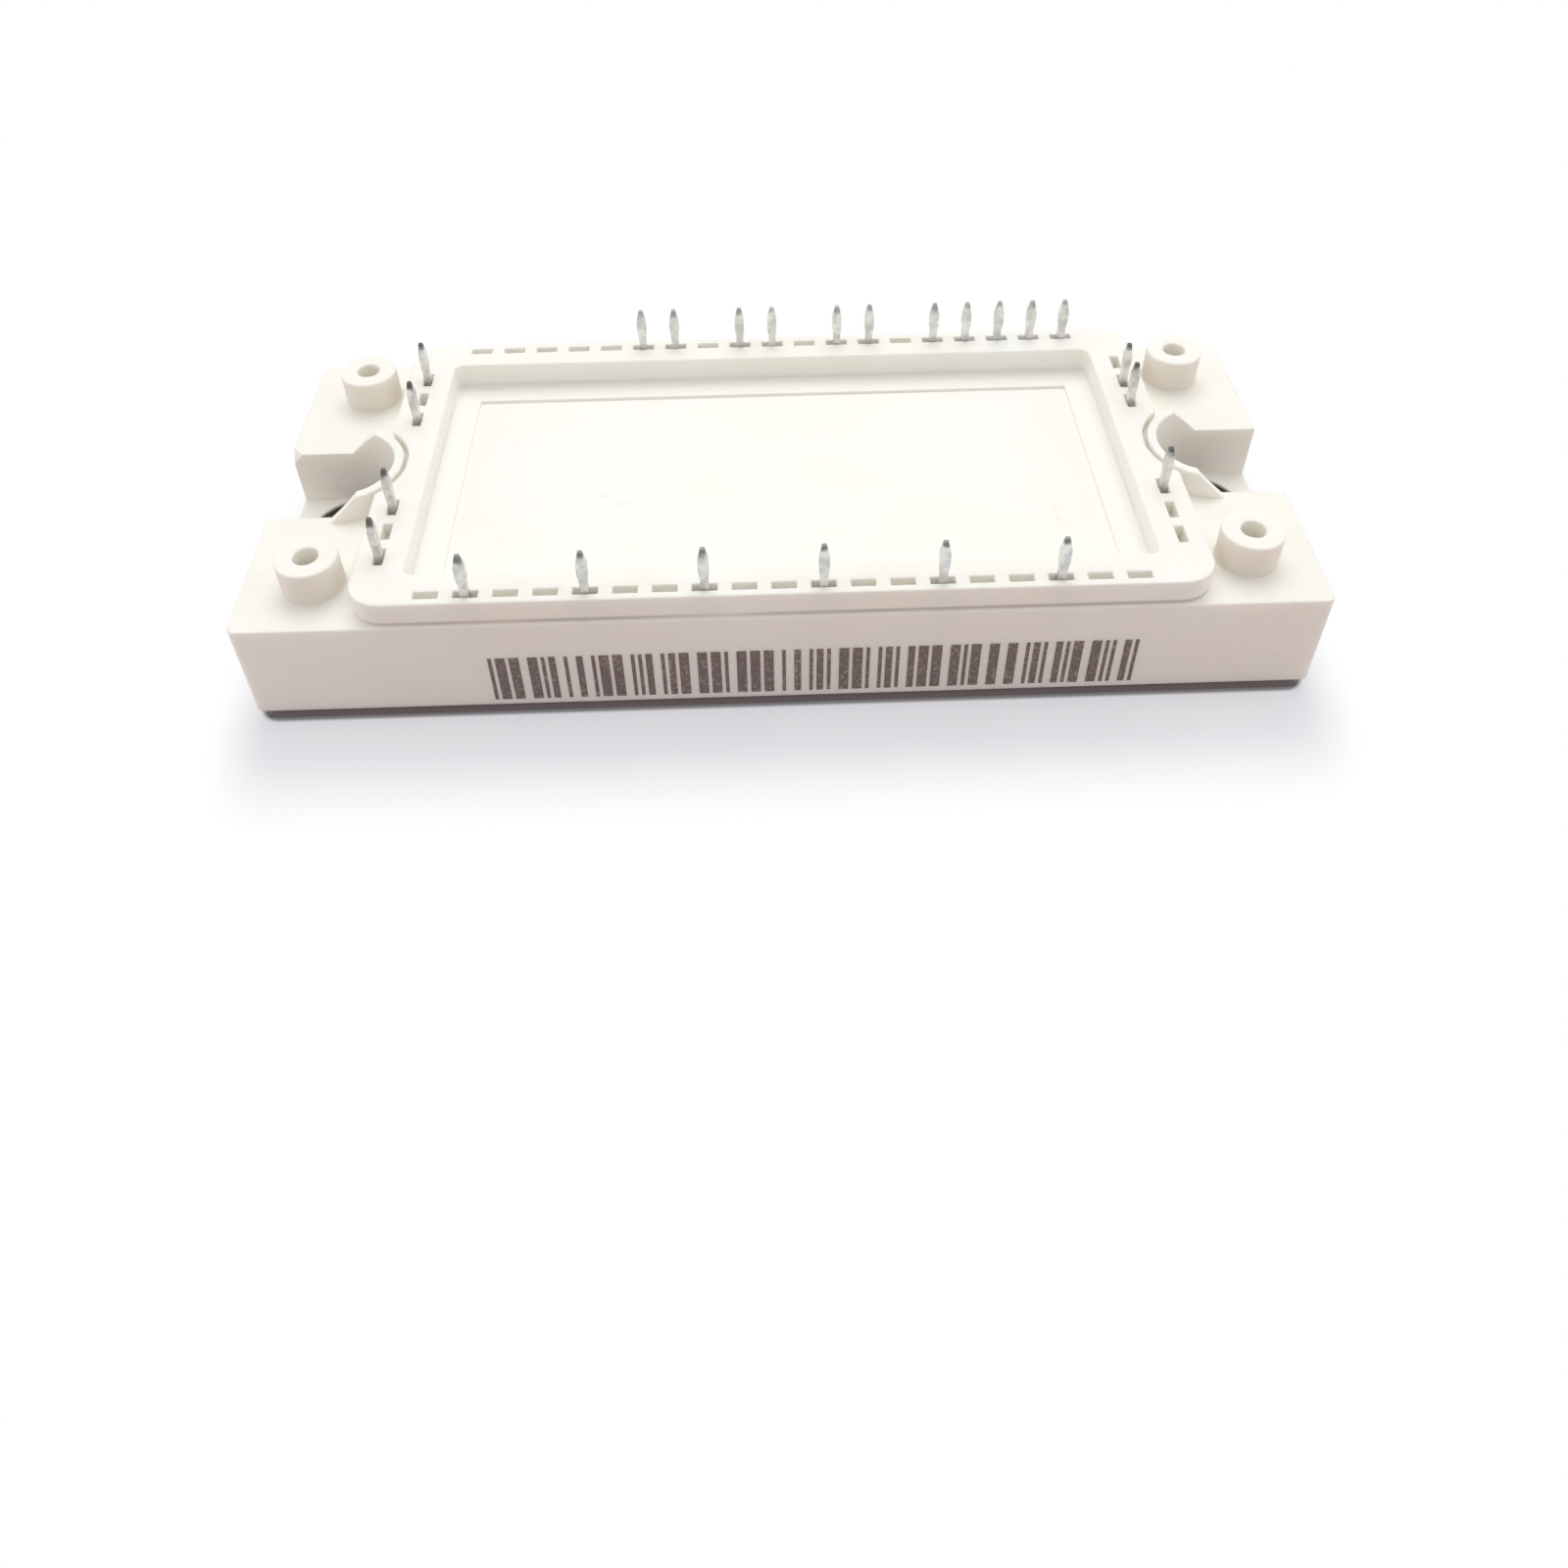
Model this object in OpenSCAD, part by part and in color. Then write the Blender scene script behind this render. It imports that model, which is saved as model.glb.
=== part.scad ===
// Low-profile power semiconductor module.
// A moulded frame housing stands on a copper base plate, holds rows of flat solder
// terminals and is closed by a lid. Inside, the chips sit on a copper-clad ceramic
// substrate that is soldered to the base plate, and bond wires join them.
// X runs along the housing, Y across it, and Z = 0 is the heatsink face.

/* [Terminal grid] */
// Pitch of the terminal grid
pitch = 3.81; // [3.6:0.01:4.2]
// Count of terminal places along each long side
place_count = 19; // [17:2:23]
// Number of pitches between the two long rows
row_steps = 11; // [11:1:13]
// Distance from the last place of a row to the end column's line
column_step = 5.41; // [5:0.01:7]

/* [Housing] */
// Distance from each long row to the housing's long face
row_margin = 1.545; // [1.4:0.005:3]
// Distance from each end column to the housing's end face
end_margin = 14.05; // [12.5:0.05:18]
// Height of the deck above the heatsink face
deck_z = 12.6; // [11.5:0.1:16]
// Height of the skirt's lower edge above the heatsink face
skirt_z = 1.5; // [0.5:0.1:2.5]
// Radius of the housing's upright corners
housing_r = 1; // [0.4:0.1:2]
// Size of the worn corner at the left channel's back wall
worn_corner = 1.2; // [0.4:0.1:2]

/* [Raised frame] */
// Distance from each end column to the frame's end
frame_end = 2.3; // [1.8:0.1:3.2]
// Setback of the frame from each long face of the housing
frame_setback = 0.2; // [0.1:0.05:0.4]
// Height of the frame above the deck
frame_rise = 2.9; // [2:0.1:4]
// Radius of the frame's upright corners
frame_r = 3.5; // [1.5:0.5:4.5]
// Distance from each long row to the wall of the recess
row_wall = 2.955; // [2:0.005:3.4]
// Distance from each end column to the wall of the recess
column_wall = 2.7; // [2:0.05:3.2]
// Radius of the recess's upright corners
recess_r = 1; // [0.5:0.1:2]

/* [Lid] */
// Thickness of the lid at its border
lid_t = 1.8; // [1.4:0.1:2.2]
// Depth of the lid's border below the top of the frame
lid_depth = 3.1; // [2:0.1:3.5]
// Width of the lid's border
lid_border = 2.8; // [1.5:0.1:5]
// Depth of the panel inside the border
lid_sink = 0.35; // [0.2:0.05:0.8]
// Gap between the lid and the recess's walls
lid_gap = 0.05; // [0.05:0.05:0.3]
// Width of the ledge that carries the lid
lid_ledge = 1.6; // [1:0.1:2]

/* [Terminals] */
// Length of each terminal place's slot
slot_l = 2.4; // [1.8:0.1:2.8]
// Width of each slot
slot_w = 0.95; // [0.85:0.05:1.2]
// Depth of each slot below the top of the frame
slot_depth = 1.6; // [1.5:0.1:4]
// Width of a terminal at its widest
pin_w = 1.05; // [0.95:0.05:1.3]
// Thickness of the terminal strip
pin_t = 0.75; // [0.5:0.05:0.8]
// Width of a terminal's neck where it leaves its slot
pin_neck_w = 0.8; // [0.6:0.05:0.9]
// Width of a terminal's tip
pin_tip_w = 0.4; // [0.2:0.05:0.6]
// Height of a terminal's tip above the frame
pin_rise = 4.9; // [4.2:0.1:7]
// Length of a terminal's neck above the frame
pin_neck_l = 1.3; // [0.5:0.1:1.6]
// Length over which a terminal widens above its neck
pin_flare_l = 0.8; // [0.3:0.1:1]
// Length of the taper to a terminal's tip
pin_taper_l = 1.4; // [0.6:0.1:1.4]
// Depth below the top of the frame at which a terminal narrows to its neck
pin_shoulder = 1.8; // [1:0.1:2.5]
// Inner radius of the bend between a terminal and its foot
pin_bend_r = 0.4; // [0.2:0.1:0.8]
// Clearance round each terminal where it passes through the housing
pin_fit = 0.02; // [0:0.01:0.04]

/* [Screw fixings] */
// Distance from each fixing screw's axis to the housing's end face
screw_inset = 7.25; // [6.5:0.05:8.5]
// Diameter of each fixing screw's hole in the base plate
screw_hole_d = 5.5; // [4.2:0.1:6.5]
// Diameter of the open well for each screw's head
well_d = 11; // [9.5:0.1:12.5]
// Height of the open channel's floor, from the well to the end of the housing
channel_z = 6.2; // [4.5:0.1:9]
// Wall of the collar round each well
collar_t = 1; // [0.8:0.1:1.2]
// Width of the groove between the collar and the frame
collar_groove = 0.5; // [0.4:0.1:0.7]
// Depth of that groove
groove_depth = 1.2; // [0.6:0.1:2.9]
// Distance from the screw's axis at which the collar starts to slope down
collar_slope_start = 2.6; // [1.5:0.1:3.5]
// Length over which the collar slopes down to the deck
collar_slope_l = 3.1; // [2:0.1:4]

/* [Board standoffs] */
// Distance from each standoff's axis to the housing's end face
standoff_end = 7.25; // [6:0.05:8.5]
// Distance from each standoff's axis to the housing's long face
standoff_side = 6.5; // [5:0.1:8]
// Height of the standoffs above the heatsink face
standoff_z = 16.5; // [14:0.1:18.5]
// Outer diameter of each standoff
standoff_d = 6.2; // [5.2:0.1:7]
// Diameter of each standoff's screw hole
standoff_hole_d = 2.5; // [2:0.1:3]
// Depth of each standoff's screw hole
standoff_hole_depth = 8; // [4:0.5:9]
// Radius of the fillet at each standoff's foot
standoff_fillet = 0.4; // [0.2:0.1:0.6]

/* [Printed bars] */
// Length of the row of bars on the front face
bars_l = 64.5; // [40:0.5:70]
// Offset of the row's middle from the middle of the front face
bars_offset = 2.9; // [-5:0.1:5]
// Height of the bars' lower end above the heatsink face
bars_z = 2.2; // [2:0.1:4]
// Height of the bars
bars_h = 5.9; // [3:0.1:6.5]
// Count of bars
bar_count = 53; // [20:1:70]
// Step between the three widths of bar, in widths of the narrowest
bar_step = 0.85; // [0.5:0.05:1.2]
// Width of a wide gap, in widths of the narrowest bar
wide_gap = 2.3; // [1.5:0.1:3]
// Thickness of the ink
ink_t = 0.03; // [0.02:0.01:0.05]

/* [Base plate] */
// Thickness of the base plate
base_t = 3; // [2.6:0.1:3.5]
// Distance from the base plate's rim to the housing's outer faces
base_inset = 0.15; // [0.05:0.05:0.6]
// Width of the step round the base plate on which the housing's skirt stands
base_step = 1.65; // [1:0.05:2]
// Radius of the base plate's corners
base_r = 2; // [1:0.5:3]
// Gap between the base plate's step and the housing's skirt
base_gap = 0.1; // [0.05:0.05:0.2]
// Chamfer round the base plate's lower edge
base_chamfer = 0.3; // [0.1:0.1:0.5]

/* [Cavity] */
// Height of the inner shelf that carries the terminals' feet
shelf_z = 5; // [4.4:0.1:5.8]
// Width of the inner shelf
shelf_w = 1.9; // [1.5:0.1:2.3]
// Gap between the end of each foot and the shelf's edge
foot_gap = 0.3; // [0.1:0.1:0.5]
// Height of the gel's upper layer above the tallest bond wires
gel_clear = 0.2; // [0.1:0.1:0.5]
// Air space between the gel and the lid
gel_air = 0.8; // [0.3:0.1:1]

/* [Substrate] */
// Gap between the ceramic and the shelf
substrate_gap = 0.7; // [0.4:0.1:1]
// Thickness of the ceramic
ceramic_t = 0.4; // [0.3:0.05:0.6]
// Thickness of each copper layer
copper_t = 0.3; // [0.2:0.05:0.4]
// Thickness of the solder under the substrate
solder_t = 0.15; // [0.1:0.05:0.25]
// Bare border of ceramic round the copper
ceramic_border = 0.8; // [0.5:0.1:1]
// Gap between neighbouring copper areas
trace_gap = 0.7; // [0.4:0.1:0.8]
// Strip of copper kept free along the edge for the terminals' wires
wire_strip = 0.7; // [0.5:0.1:0.9]
// Half the width of each pad along the front
pad_half = 1.9; // [1.2:0.1:2.2]
// Side of each upper transistor's gate pad
gate_pad = 1.2; // [1:0.1:1.3]

/* [Chips] */
// Thickness of each chip with its solder
chip_t = 0.25; // [0.15:0.05:0.35]
// Side of each transistor chip
igbt_side = 5.7; // [5:0.1:6.4]
// Side of each freewheel diode chip
freewheel_side = 3.8; // [3:0.1:4.4]
// Side of each rectifier diode chip
rectifier_side = 4.4; // [3.6:0.1:5]
// Diameter of a power bond wire
wire_d = 0.3; // [0.2:0.05:0.4]
// Diameter of a gate bond wire
gate_wire_d = 0.15; // [0.1:0.05:0.2]
// Height of a bond wire's loop
wire_loop = 1.2; // [0.8:0.1:1.5]
// Length of the thermistor
thermistor_l = 3.2; // [2.4:0.1:3.6]
// Width of the thermistor
thermistor_w = 1.6; // [1.2:0.1:2]
// Thickness of the thermistor
thermistor_t = 0.9; // [0.5:0.1:1.2]
// Width of each copper pad under the thermistor's ends
thermistor_pad = 1.8; // [1.2:0.1:2]

/* [Hidden] */
$fn = 64;
eps = 0.01;
phases = 3;
// Places of the terminals, counted in pitches from the middle of each row or column
front_places = [-8, -5, -2, 1, 4, 7];
back_places = [-4, -3, -1, 0, 2, 3, 5, 6, 7, 8, 9];
left_places = [4, 2, -2, -4];
right_places = [3, 2, -2];
column_places = [-4, -3, -2, 2, 3, 4];
last_place = (place_count - 1) / 2;

// Plan sizes, from the terminal grid outwards and inwards
row_spacing = row_steps * pitch;
column_spacing = 2 * (last_place * pitch + column_step);
housing_l = column_spacing + 2 * end_margin;
housing_w = row_spacing + 2 * row_margin;
frame_l = column_spacing + 2 * frame_end;
frame_w = housing_w - 2 * frame_setback;
recess_l = column_spacing - 2 * column_wall;
recess_w = row_spacing - 2 * row_wall;
cavity_l = recess_l - 2 * lid_ledge;
cavity_w = recess_w - 2 * lid_ledge;
window_l = cavity_l - 2 * shelf_w;
window_w = cavity_w - 2 * shelf_w;
ceramic_l = window_l - 2 * substrate_gap;
ceramic_w = window_w - 2 * substrate_gap;
copper_l = ceramic_l - 2 * ceramic_border;
copper_w = ceramic_w - 2 * ceramic_border;
base_l = housing_l - 2 * base_inset;
base_w = housing_w - 2 * base_inset;
step_l = base_l - 2 * base_step;
step_w = base_w - 2 * base_step;
screw_x = housing_l / 2 - screw_inset;
standoff_x = housing_l / 2 - standoff_end;
standoff_y = housing_w / 2 - standoff_side;

// Heights
frame_z = deck_z + frame_rise;
lid_z = frame_z - lid_depth;
ledge_z = lid_z - lid_t;
slot_z = frame_z - slot_depth;
bottom_copper_z = base_t + solder_t;
ceramic_z = bottom_copper_z + copper_t;
top_copper_z = ceramic_z + ceramic_t;
chip_z = top_copper_z + copper_t;
chip_top_z = chip_z + chip_t;
foot_z = shelf_z + pin_t;
gel_z = foot_z + wire_loop + wire_d + gel_clear;

// Terminals, as [x, y, direction of the foot]
bend_out = pin_bend_r + pin_t;
terminals = [
    for (i = front_places) if (abs(i) <= last_place) [i * pitch, -row_spacing / 2, 90],
    for (i = back_places) if (abs(i) <= last_place) [i * pitch, row_spacing / 2, -90],
    for (k = left_places) [-column_spacing / 2, k * pitch, 0],
    for (k = right_places) [column_spacing / 2, k * pitch, 180]
];

// Length of a terminal's foot, from its shank's middle to near the shelf's edge
function foot_length(t) =
    (abs(t[2]) == 90 ? row_wall : column_wall) + lid_ledge + shelf_w - foot_gap;

// Columns of the copper, left to right: one for each inverter phase, one for each
// rectifier leg and one for the brake. The spare length is shared by the chips' edges.
columns = 2 * phases + 1;
chip_edges = 3 * phases + 2 * phases + 2;
chips_l = phases * (igbt_side + freewheel_side + rectifier_side) + igbt_side;
edge_x = (copper_l - 2 * wire_strip - chips_l - (columns - 1) * trace_gap) / chip_edges;
cell_w = igbt_side + freewheel_side + 3 * edge_x;
diode_w = rectifier_side + 2 * edge_x;
inverter_x = -copper_l / 2 + wire_strip;
rectifier_x = inverter_x + phases * (cell_w + trace_gap);
brake_x = rectifier_x + phases * (diode_w + trace_gap);
function cell_x(p) = inverter_x + p * (cell_w + trace_gap);
function diode_x(p) = rectifier_x + p * (diode_w + trace_gap);

// Rows of the copper, back to front: upper chips, phase areas with the lower chips,
// negative rail and front pads. The spare width is shared out between them.
spare_w = copper_w - wire_strip - 2 * igbt_side - 3 * trace_gap;
edge_y = spare_w / 20;
landing = spare_w / 6;
chip_row = igbt_side + 2 * edge_y;
upper_y = copper_w / 2 - wire_strip - chip_row;
phase_y = upper_y - trace_gap - landing - chip_row;
rail_y = phase_y - trace_gap - landing;
pad_h = rail_y - trace_gap + copper_w / 2;

// Centres of the chips
upper_cy = upper_y + chip_row / 2;
lower_cy = phase_y + chip_row / 2;
brake_cx = brake_x + edge_x + igbt_side / 2;
igbts = [
    for (p = [0 : phases - 1], y = [upper_cy, lower_cy])
        [cell_x(p) + edge_x + igbt_side / 2, y],
    [brake_cx, lower_cy]
];
freewheels = [
    for (p = [0 : phases - 1], y = [upper_cy, lower_cy])
        [cell_x(p) + 2 * edge_x + igbt_side + freewheel_side / 2, y],
    [brake_cx, upper_cy]
];
rectifiers = [
    for (p = [0 : phases - 1], y = [upper_cy, lower_cy]) [diode_x(p) + diode_w / 2, y]
];
thermistor_x = (terminals[4][0] + terminals[5][0]) / 2;
thermistor_y = -copper_w / 2 + pad_h / 2;

// ---- Shared shapes ----

// A plan rectangle with round corners
module round_rect(l, w, r) {
    square([l - 2 * r, w], center = true);
    square([l, w - 2 * r], center = true);
    for (sx = [-1, 1], sy = [-1, 1])
        translate([sx * (l / 2 - r), sy * (w / 2 - r)]) circle(r);
}

// A round-cornered block from one height to another
module block(l, w, r, z0, z1) {
    translate([0, 0, z0]) linear_extrude(z1 - z0) round_rect(l, w, r);
}

// A plain box from its lower corner and its size
module box(x, y, z, l, w, h) {
    translate([x, y, z]) cube([l, w, h]);
}

// Both ends of the module, the second turned about the middle
module both_ends() {
    for (a = [0, 180]) rotate([0, 0, a]) children();
}

// Every standoff's place
module each_standoff() {
    for (sx = [-1, 1], sy = [-1, 1])
        translate([sx * standoff_x, sy * standoff_y, 0]) children();
}

// One bond wire: an arc of round wire between two points on pads
module wire(a, b, d, loop) {
    run = norm([b[0] - a[0], b[1] - a[1]]);
    rise = b[2] - a[2];
    chord = norm([run, rise]);
    half = 2 * atan(2 * loop / chord);
    radius = chord / 2 / sin(half);
    turn = atan2(b[1] - a[1], b[0] - a[0]);
    translate([a[0], a[1], a[2] + d / 2])
        rotate([0, 0, turn]) rotate([0, -atan2(rise, run), 0])
            translate([chord / 2, 0, loop - radius]) rotate([90, 0, 0])
                rotate([0, 0, 90 - half]) rotate_extrude(angle = 2 * half)
                    translate([radius, 0]) circle(d / 2, $fn = 16);
}

// ---- Housing ----

// A terminal with its foot along +X: strip with a neck, a spear tip and a bent foot
module terminal_shape(foot_l) {
    shoulder_z = frame_z - pin_shoulder;
    neck_z = frame_z + pin_neck_l;
    wide_z = neck_z + pin_flare_l;
    tip_z = frame_z + pin_rise;
    taper_z = tip_z - pin_taper_l;
    intersection() {
        translate([-pin_t / 2, 0, 0]) rotate([90, 0, 90]) linear_extrude(pin_t)
            polygon([
                [-pin_w / 2, foot_z + pin_bend_r], [pin_w / 2, foot_z + pin_bend_r],
                [pin_w / 2, shoulder_z], [pin_neck_w / 2, shoulder_z + pin_neck_w / 2],
                [pin_neck_w / 2, neck_z], [pin_w / 2, wide_z],
                [pin_w / 2, taper_z], [pin_tip_w / 2, tip_z], [-pin_tip_w / 2, tip_z],
                [-pin_w / 2, taper_z], [-pin_w / 2, wide_z],
                [-pin_neck_w / 2, neck_z], [-pin_neck_w / 2, shoulder_z + pin_neck_w / 2],
                [-pin_w / 2, shoulder_z]
            ]);
        translate([0, pin_w, 0]) rotate([90, 0, 0]) linear_extrude(2 * pin_w)
            polygon([
                [-pin_t / 2, 0], [pin_t / 2, 0], [pin_t / 2, taper_z],
                [pin_tip_w / 2, tip_z], [-pin_tip_w / 2, tip_z], [-pin_t / 2, taper_z]
            ]);
    }
    foot(foot_l, 0);
}

// The bend and the foot of a terminal, grown by a clearance for its passage
module foot(foot_l, grow) {
    translate([bend_out - pin_t / 2, pin_w / 2 + grow, foot_z + pin_bend_r])
        rotate([90, 0, 0]) rotate([0, 0, 180]) rotate_extrude(angle = 90)
            translate([pin_bend_r - grow, 0]) square([pin_t + 2 * grow, pin_w + 2 * grow]);
    box(bend_out - pin_t / 2, -pin_w / 2 - grow, shelf_z - grow,
        foot_l - bend_out + pin_t / 2, pin_w + 2 * grow, pin_t + 2 * grow);
}

// Every slot's place, turned along its row
module each_slot() {
    for (i = [-last_place : last_place], s = [-1, 1])
        translate([i * pitch, s * row_spacing / 2, 0]) rotate([0, 0, 90]) children();
    for (k = column_places, s = [-1, 1])
        translate([s * column_spacing / 2, k * pitch, 0]) children();
}

// The passages for the terminals' shanks and feet
module terminal_passages() {
    for (t = terminals) translate([t[0], t[1], 0]) rotate([0, 0, t[2]]) {
        box(-pin_t / 2 - pin_fit, -pin_w / 2 - pin_fit, foot_z + pin_bend_r,
            pin_t + 2 * pin_fit, pin_w + 2 * pin_fit, slot_z - foot_z - pin_bend_r + eps);
        foot(foot_length(t), pin_fit);
    }
}

// The collar round one screw well, level with the frame and sloping down outwards
module collar() {
    r = well_d / 2 + collar_t;
    intersection() {
        translate([screw_x, 0, deck_z - eps]) cylinder(frame_rise + eps, r = r);
        translate([screw_x, r, 0]) rotate([90, 0, 0]) linear_extrude(2 * r)
            polygon([
                [-r, deck_z - eps], [-r, frame_z], [-collar_slope_start, frame_z],
                [collar_slope_l - collar_slope_start, deck_z],
                [collar_slope_l - collar_slope_start, deck_z - eps]
            ]);
    }
}

// The cut for one fixing screw: its well, and the open channel to the end face
module notch() {
    translate([screw_x, 0, 0]) {
        translate([0, 0, base_t - eps]) cylinder(frame_z, d = well_d);
        translate([0, 0, channel_z]) linear_extrude(frame_z) {
            circle(d = well_d);
            translate([0, -well_d / 2]) square([housing_l / 2, well_d]);
        }
    }
}

// The arc-shaped groove between each collar and the raised frame
module collar_clearance() {
    translate([screw_x, 0, frame_z - groove_depth])
        cylinder(groove_depth + eps, r = well_d / 2 + collar_t + collar_groove);
}

// One board standoff with a fillet at its foot
module standoff() {
    r = standoff_d / 2;
    rotate_extrude() difference() {
        translate([0, deck_z - eps])
            square([r + standoff_fillet, standoff_z - deck_z + eps]);
        translate([r, deck_z + standoff_fillet])
            square([standoff_fillet + eps, standoff_z]);
        translate([r + standoff_fillet, deck_z + standoff_fillet]) circle(standoff_fillet);
    }
}

// The corner that is worn off where the left channel's back wall meets the end face
module worn_off() {
    translate([-housing_l / 2, well_d / 2, deck_z])
        rotate([0, acos(1 / sqrt(3)), 225])
            translate([-worn_corner, -worn_corner, -worn_corner / sqrt(3)])
                cube([2 * worn_corner, 2 * worn_corner, worn_corner]);
}

module housing() {
    color("ivory") difference() {
        union() {
            block(housing_l, housing_w, housing_r, skirt_z, deck_z);
            difference() {
                block(frame_l, frame_w, frame_r, deck_z - eps, frame_z);
                both_ends() collar_clearance();
            }
            both_ends() collar();
            each_standoff() standoff();
        }
        block(recess_l, recess_w, recess_r, ledge_z, frame_z + eps);
        block(cavity_l, cavity_w, recess_r, shelf_z, ledge_z + eps);
        block(window_l, window_w, recess_r, skirt_z, shelf_z + eps);
        block(step_l + 2 * base_gap, step_w + 2 * base_gap, base_r, skirt_z - eps, base_t);
        both_ends() notch();
        worn_off();
        each_slot()
            box(-slot_w / 2, -slot_l / 2, slot_z, slot_w, slot_l, slot_depth + eps);
        terminal_passages();
        each_standoff()
            translate([0, 0, standoff_z - standoff_hole_depth])
                cylinder(standoff_hole_depth + eps, d = standoff_hole_d);
    }
}

module lid() {
    l = recess_l - 2 * lid_gap;
    w = recess_w - 2 * lid_gap;
    color("snow") difference() {
        block(l, w, recess_r, ledge_z, lid_z);
        box(-l / 2 + lid_border, -w / 2 + lid_border, lid_z - lid_sink,
            l - 2 * lid_border, w - 2 * lid_border, lid_sink + eps);
    }
}

// Ink bars on the front face. Plain rules give their widths, so nothing is coded in them
function bar_units(i) = 1 + bar_step * ((5 * i * i * i + 3 * i) % 19 % 3);
function gap_units(i) = (i * i + 5 * i) % 17 < 12 ? 1 : wide_gap;
function units_before(i) =
    i == 0 ? 0 : units_before(i - 1) + bar_units(i - 1) + gap_units(i - 1);

module printed_bars() {
    unit = bars_l / (units_before(bar_count) - gap_units(bar_count - 1));
    color("dimgray") for (i = [0 : bar_count - 1])
        box(bars_offset - bars_l / 2 + unit * units_before(i), -housing_w / 2 - ink_t, bars_z,
            unit * bar_units(i), ink_t, bars_h);
}

module base_plate() {
    color("lightslategray") difference() {
        union() {
            block(base_l, base_w, base_r, 0, skirt_z);
            block(step_l, step_w, base_r, 0, base_t);
        }
        both_ends() translate([screw_x, 0, -eps])
            cylinder(base_t + 2 * eps, d = screw_hole_d);
        for (s = [-1, 1]) {
            translate([0, s * base_w / 2, 0]) rotate([45, 0, 0])
                cube([base_l, base_chamfer * sqrt(2), base_chamfer * sqrt(2)], center = true);
            translate([s * base_l / 2, 0, 0]) rotate([0, 45, 0])
                cube([base_chamfer * sqrt(2), base_w, base_chamfer * sqrt(2)], center = true);
        }
    }
}

module gel_layer() {
    color("lightcyan", 0.6) block(cavity_l, cavity_w, recess_r, gel_z, ledge_z - gel_air);
}

// ---- Substrate ----

module substrate_solder() {
    color("silver") box(-copper_l / 2, -copper_w / 2, base_t, copper_l, copper_w, solder_t);
}

module substrate_bottom_copper() {
    color("peru")
        box(-copper_l / 2, -copper_w / 2, bottom_copper_z, copper_l, copper_w, copper_t);
}

module substrate_ceramic() {
    color("white")
        box(-ceramic_l / 2, -ceramic_w / 2, ceramic_z, ceramic_l, ceramic_w, ceramic_t);
}

// One flat area of the upper copper layer, from its lower corner to its upper corner
module trace(x0, y0, x1, y1) {
    box(x0, y0, top_copper_z, x1 - x0, y1 - y0, copper_t);
}

// Lower corner of the gate pad that is cut out of a phase's landing strip
function gate_corner(p) = [cell_x(p), phase_y + chip_row + landing - gate_pad];

module substrate_top_copper() {
    back = copper_w / 2;
    half = copper_l / 2;
    top = phase_y + chip_row + landing;
    color("peru") {
        trace(-half, upper_y, rectifier_x - trace_gap, back);
        trace(rectifier_x, upper_y, brake_x - trace_gap, back);
        trace(brake_x, upper_y, half, back);
        for (p = [0 : phases - 1]) {
            g = gate_corner(p);
            difference() {
                trace(p == 0 ? -half : cell_x(p), phase_y, cell_x(p) + cell_w, top);
                box(-half, g[1] - trace_gap / 2, top_copper_z - eps,
                    g[0] + gate_pad + trace_gap / 2 + half, landing, copper_t + 2 * eps);
            }
            trace(g[0], g[1], g[0] + gate_pad, top);
            trace(diode_x(p), phase_y, diode_x(p) + diode_w, top);
        }
        trace(brake_x, phase_y, half, top);
        trace(-half, rail_y, half, rail_y + landing);
        for (t = terminals) if (t[2] == 90)
            trace(max(-half, t[0] - pad_half), -back, min(half, t[0] + pad_half), pad_h - back);
        for (s = [-1, 1])
            translate([thermistor_x + s * (thermistor_l - thermistor_pad / 2) / 2, 0, 0])
                trace(-thermistor_pad / 2, -back, thermistor_pad / 2, pad_h - back);
    }
}

// ---- Chips ----

// A square chip on the upper copper
module chip(c, side) {
    translate([c[0] - side / 2, c[1] - side / 2, chip_z]) cube([side, side, chip_t]);
}

module igbt_chip(i) {
    color("dimgray") chip(igbts[i], igbt_side);
}

module freewheel_diode(i) {
    color("slategray") chip(freewheels[i], freewheel_side);
}

module rectifier_diode(i) {
    color("gray") chip(rectifiers[i], rectifier_side);
}

module thermistor() {
    color("darkslategray")
        box(thermistor_x - thermistor_l / 2, thermistor_y - thermistor_w / 2, chip_z,
            thermistor_l, thermistor_w, thermistor_t);
}

// ---- Bond wires ----

// Power wires side by side from a chip to the copper in front of it
module chip_wires(c, side, count) {
    spread = side * 0.8;
    y = c[1] == upper_cy ? upper_y - trace_gap - landing / 2 : rail_y + landing / 2;
    for (k = [0 : count - 1]) {
        x = c[0] + ((k + 0.5) / count - 0.5) * spread;
        wire([x, c[1] - side / 4, chip_top_z], [x, y, chip_z], wire_d, wire_loop);
    }
}

module igbt_wires() {
    color("lightgray") for (c = igbts) chip_wires(c, igbt_side, 3);
}

module freewheel_wires() {
    color("lightgray") for (c = freewheels) chip_wires(c, freewheel_side, 2);
}

module rectifier_wires() {
    color("lightgray") for (c = rectifiers) chip_wires(c, rectifier_side, 3);
}

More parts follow.
